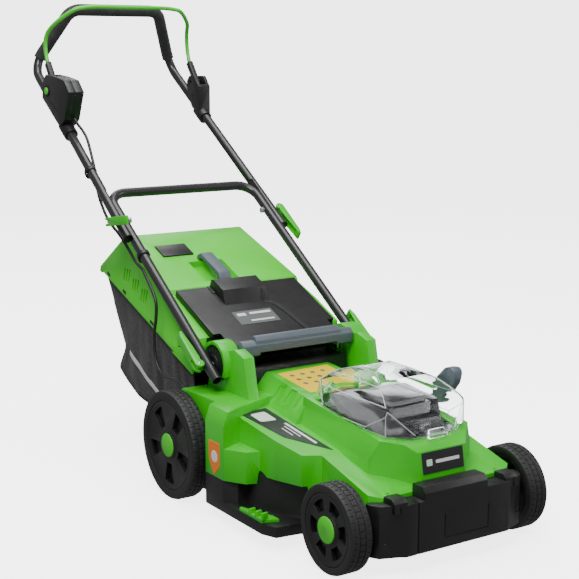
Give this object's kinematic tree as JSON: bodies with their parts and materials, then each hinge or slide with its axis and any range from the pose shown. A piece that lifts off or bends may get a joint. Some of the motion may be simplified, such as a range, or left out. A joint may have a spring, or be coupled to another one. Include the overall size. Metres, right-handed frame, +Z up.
{
  "type": "push lawn mower",
  "caption": "Cordless push lawn mower with four wheels, a folding handle, a clear battery cover and a rear grass bag.",
  "frame": {"origin": "on the ground, under the middle of the mower's length and width", "axes": "+Z up, +Y towards the handle and grass bag, +X to the side away from the switch box"},
  "size_m": [0.4992, 1.3107, 0.9367],
  "materials": {
    "green_plastic": "satin",
    "light_green_plastic": "satin",
    "dark_plastic": "fine grain",
    "slate_plastic": "satin",
    "motor_metal": "cast",
    "steel": "plated",
    "aluminium": "machined",
    "blade_steel": "powder coat",
    "clear_plastic": "clear",
    "red_plastic": "satin",
    "bag_fabric": "coarse weave",
    "tube_paint": "satin powder coat",
    "foam": "foam",
    "bail_paint": "gloss powder coat",
    "cable_sheath": "smooth",
    "tyre": "moulded"
  },
  "bodies": {
    "chassis": {"deck_shell": "green_plastic", "lower_deck": "dark_plastic", "front_bumper": "dark_plastic", "edge_combs": "green_plastic", "carry_handle": "slate_plastic", "battery_tray": "dark_plastic", "motor": "motor_metal", "axle_bushes": "dark_plastic", "flap_hinge_rod": "steel"},
    "height_lever": {"height_lever": "slate_plastic", "height_lever_knob": "slate_plastic"},
    "front_axle": {"front_axle": "steel"},
    "rear_axle": {"rear_axle": "steel"},
    "height_link": {"height_link_rod": "steel"},
    "front_right_wheel": {"front_right_tyre": "tyre", "front_right_rim": "dark_plastic", "front_right_cap": "light_green_plastic"},
    "front_left_wheel": {"front_left_tyre": "tyre", "front_left_rim": "dark_plastic", "front_left_cap": "light_green_plastic"},
    "rear_right_wheel": {"rear_right_tyre": "tyre", "rear_right_rim": "dark_plastic", "rear_right_cap": "light_green_plastic"},
    "rear_left_wheel": {"rear_left_tyre": "tyre", "rear_left_rim": "dark_plastic", "rear_left_cap": "light_green_plastic"},
    "blade": {"motor_shaft": "steel", "blade_adapter": "aluminium", "blade": "blade_steel", "blade_bolt": "steel"},
    "battery_cover": {"battery_cover": "clear_plastic", "cover_latch": "clear_plastic"},
    "battery_pack": {"battery_pack": "dark_plastic"},
    "safety_key": {"safety_key": "red_plastic"},
    "rear_flap": {"rear_flap": "dark_plastic"},
    "bag": {"bag_lid": "light_green_plastic", "bag_handle": "slate_plastic", "bag_fabric": "bag_fabric", "bag_frame": "dark_plastic"},
    "bag_level_flap": {"bag_level_flap": "dark_plastic"},
    "lower_handle": {"lower_handle_tube": "tube_paint", "pivot_discs": "dark_plastic", "pivot_bolts": "steel", "cable_clip_lower": "dark_plastic", "control_cable": "cable_sheath"},
    "lower_cam_right": {"lower_cam_right": "green_plastic"},
    "lower_cam_left": {"lower_cam_left": "green_plastic"},
    "upper_handle": {"upper_handle_tube": "tube_paint", "clamp_bolts": "steel", "tube_end_caps": "dark_plastic", "foam_grip": "foam", "switch_box_shell": "dark_plastic", "switch_box_cover": "dark_plastic", "bail_bracket": "dark_plastic", "cable_clip_upper": "dark_plastic"},
    "upper_cam_right": {"upper_cam_right": "green_plastic"},
    "upper_cam_left": {"upper_cam_left": "green_plastic"},
    "start_button": {"start_button": "light_green_plastic"},
    "bail": {"bail_bar": "bail_paint", "bail_lever": "dark_plastic"}
  },
  "joints": [
    {"name": "front_axle_lift", "type": "hinge", "parent": "chassis", "child": "front_axle", "pos_m": [0, -0.5464, 0.05], "axis": [1, 0, 0], "range_deg": [0, 90]},
    {"name": "rear_axle_lift", "type": "hinge", "parent": "chassis", "child": "rear_axle", "pos_m": [0, -0.083, 0.078], "axis": [1, 0, 0], "range_deg": [0, 90]},
    {"name": "height_lever_swing", "type": "hinge", "parent": "chassis", "child": "height_lever", "pos_m": [0.141, -0.3594, 0.128], "axis": [1, 0, 0], "range_deg": [0, 25]},
    {"name": "link_rod_turn", "type": "hinge", "parent": "front_axle", "child": "height_link", "pos_m": [0.1535, -0.5224, 0.074], "axis": [1, 0, 0], "range_deg": [-90, 0]},
    {"name": "front_right_wheel_spin", "type": "hinge", "parent": "front_axle", "child": "front_right_wheel", "pos_m": [-0.188, -0.5714, 0.075], "axis": [1, 0, 0], "continuous": true},
    {"name": "front_left_wheel_spin", "type": "hinge", "parent": "front_axle", "child": "front_left_wheel", "pos_m": [0.188, -0.5714, 0.075], "axis": [1, 0, 0], "continuous": true},
    {"name": "rear_right_wheel_spin", "type": "hinge", "parent": "rear_axle", "child": "rear_right_wheel", "pos_m": [-0.23, -0.108, 0.103], "axis": [1, 0, 0], "continuous": true},
    {"name": "rear_left_wheel_spin", "type": "hinge", "parent": "rear_axle", "child": "rear_left_wheel", "pos_m": [0.23, -0.108, 0.103], "axis": [1, 0, 0], "continuous": true},
    {"name": "blade_spin", "type": "hinge", "parent": "chassis", "child": "blade", "pos_m": [0, -0.3264, 0.039], "axis": [0, 0, 1], "continuous": true},
    {"name": "battery_cover_open", "type": "hinge", "parent": "chassis", "child": "battery_cover", "pos_m": [0, -0.3349, 0.233], "axis": [-1, 0, 0], "range_deg": [0, 75]},
    {"name": "battery_pack_lift", "type": "slide", "parent": "chassis", "child": "battery_pack", "axis": [0, 0, 1], "range_m": [0, 0.016]},
    {"name": "safety_key_pull", "type": "slide", "parent": "chassis", "child": "safety_key", "axis": [0, 0, 1], "range_m": [0, 0.015]},
    {"name": "rear_flap_open", "type": "hinge", "parent": "chassis", "child": "rear_flap", "pos_m": [0, -0.1534, 0.27], "axis": [1, 0, 0], "range_deg": [0, 60]},
    {"name": "bag_remove", "type": "slide", "parent": "chassis", "child": "bag", "axis": [0, 1, 0], "range_m": [0, 0.25]},
    {"name": "bag_level_flap_lift", "type": "hinge", "parent": "bag", "child": "bag_level_flap", "pos_m": [-0.064, 0.1761, 0.4125], "axis": [1, 0, 0], "range_deg": [0, 35]},
    {"name": "handle_fold", "type": "hinge", "parent": "chassis", "child": "lower_handle", "pos_m": [0, -0.1374, 0.255], "axis": [1, 0, 0], "range_deg": [0, 140], "deforming": ["control_cable"]},
    {"name": "upper_handle_fold", "type": "hinge", "parent": "lower_handle", "child": "upper_handle", "pos_m": [0, 0.20707, 0.48823], "axis": [1, 0, 0], "range_deg": [-150, 0], "deforming": ["control_cable"]},
    {"name": "lower_cam_right_swing", "type": "hinge", "parent": "lower_handle", "child": "lower_cam_right", "pos_m": [-0.1947, -0.1374, 0.255], "axis": [0, -0.5606, 0.8281], "range_deg": [0, 110]},
    {"name": "lower_cam_left_swing", "type": "hinge", "parent": "lower_handle", "child": "lower_cam_left", "pos_m": [0.1947, -0.1374, 0.255], "axis": [0, 0.5606, -0.8281], "range_deg": [0, 110]},
    {"name": "upper_cam_right_swing", "type": "hinge", "parent": "upper_handle", "child": "upper_cam_right", "pos_m": [-0.2055, 0.20707, 0.48823], "axis": [0, -0.1564, -0.9877], "range_deg": [0, 150]},
    {"name": "upper_cam_left_swing", "type": "hinge", "parent": "upper_handle", "child": "upper_cam_left", "pos_m": [0.2055, 0.20707, 0.48823], "axis": [0, -0.5606, 0.8281], "range_deg": [0, 150]},
    {"name": "start_button_press", "type": "slide", "parent": "upper_handle", "child": "start_button", "axis": [1, 0, 0], "range_m": [0, 0.0025], "stiffness_N_per_m": 300},
    {"name": "bail_pull", "type": "hinge", "parent": "upper_handle", "child": "bail", "pos_m": [0, 0.5286, 0.76], "axis": [-1, 0, 0], "range_deg": [0, 19], "stiffness_Nm_per_rad": 1.5, "springref_deg": -20.05}
  ],
  "couplings": [
    {"joint": "front_axle_lift", "follows": "height_lever_swing", "ratio": 3.6},
    {"joint": "rear_axle_lift", "follows": "height_lever_swing", "ratio": 3.6},
    {"joint": "link_rod_turn", "follows": "height_lever_swing", "ratio": -3.6},
    {"joint": "upper_handle_fold", "follows": "handle_fold", "ratio": -1.0714}
  ]
}
